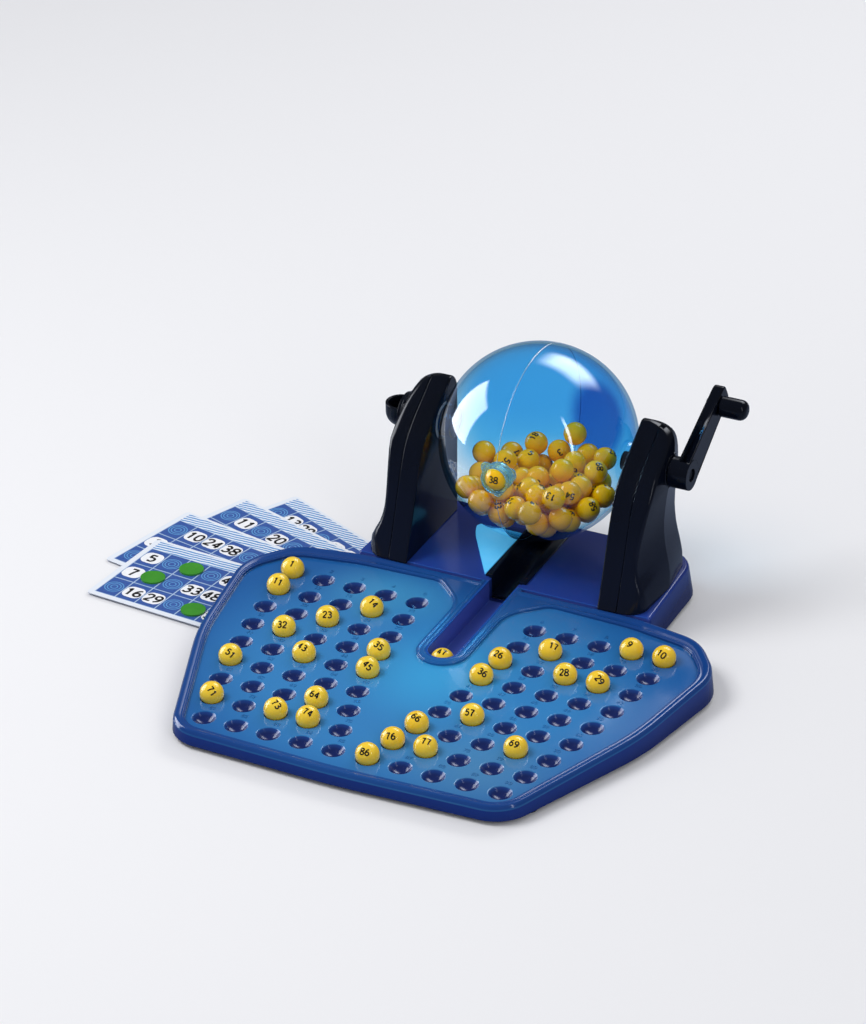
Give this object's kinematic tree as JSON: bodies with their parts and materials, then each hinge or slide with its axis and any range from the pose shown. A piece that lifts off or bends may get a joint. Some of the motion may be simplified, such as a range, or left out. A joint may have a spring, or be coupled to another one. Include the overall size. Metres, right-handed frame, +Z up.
{
  "type": "bingo game with number tray, ball globe and cards",
  "caption": "Bingo set: a crank-turned clear globe over a sloping number tray with ball cups, a ball channel, paper number cards and round markers.",
  "frame": {"origin": "bottom of the middle foot, on the floor on the centre plane below the back row of cups", "axes": "+X to the player's right along the globe's axle, +Y away from the player, +Z up"},
  "size_m": [0.4234, 0.3534, 0.1622],
  "materials": {
    "blue_tray": "glossy moulded",
    "indigo_base": "glossy moulded",
    "black_plastic": "glossy moulded",
    "grey_plastic": "satin",
    "black_rubber": "matte",
    "steel": "satin",
    "dark_steel": "blackened",
    "blue_clear": "clear tinted",
    "cyan_clear": "clear tinted",
    "ball_yellow": "glossy",
    "printed_card": "printed, satin",
    "marker_green": "glossy translucent"
  },
  "bodies": {
    "machine": {"number_tray": "blue_tray", "base": "indigo_base", "feet": "black_rubber", "base_screws": "steel", "left_tower_inner": "black_plastic", "left_tower_outer": "black_plastic", "right_tower_inner": "black_plastic", "right_tower_outer": "black_plastic", "tower_screws": "steel", "left_bush": "grey_plastic", "right_bush": "grey_plastic", "feed_cup": "black_plastic", "chute": "black_plastic", "ball_deflector": "cyan_clear", "tray_balls": "ball_yellow", "globe_balls": "ball_yellow", "card_1": "printed_card", "card_2": "printed_card", "card_3": "printed_card", "card_4": "printed_card", "markers": "marker_green"},
    "globe": {"globe_left_half": "blue_clear", "globe_right_half": "blue_clear", "left_axle": "blue_clear", "right_axle": "black_plastic", "port_tube": "cyan_clear", "port_ball": "ball_yellow", "crank_arm": "black_plastic", "crank_screw": "dark_steel", "grip_pin": "steel"},
    "grip": {"grip": "black_plastic"},
    "called_ball": {"channel_ball": "ball_yellow"}
  },
  "joints": [
    {"name": "globe_spin", "type": "hinge", "parent": "machine", "child": "globe", "pos_m": [0, 0.09193, 0.09856], "axis": [1, 0, 0], "continuous": true},
    {"name": "grip_spin", "type": "hinge", "parent": "globe", "child": "grip", "pos_m": [0.112, 0.13698, 0.12648], "axis": [1, 0, 0], "continuous": true},
    {"name": "called_ball_roll", "type": "slide", "parent": "machine", "child": "called_ball", "axis": [0, 0.9992, 0.0401], "range_m": [0, 0.08]}
  ]
}
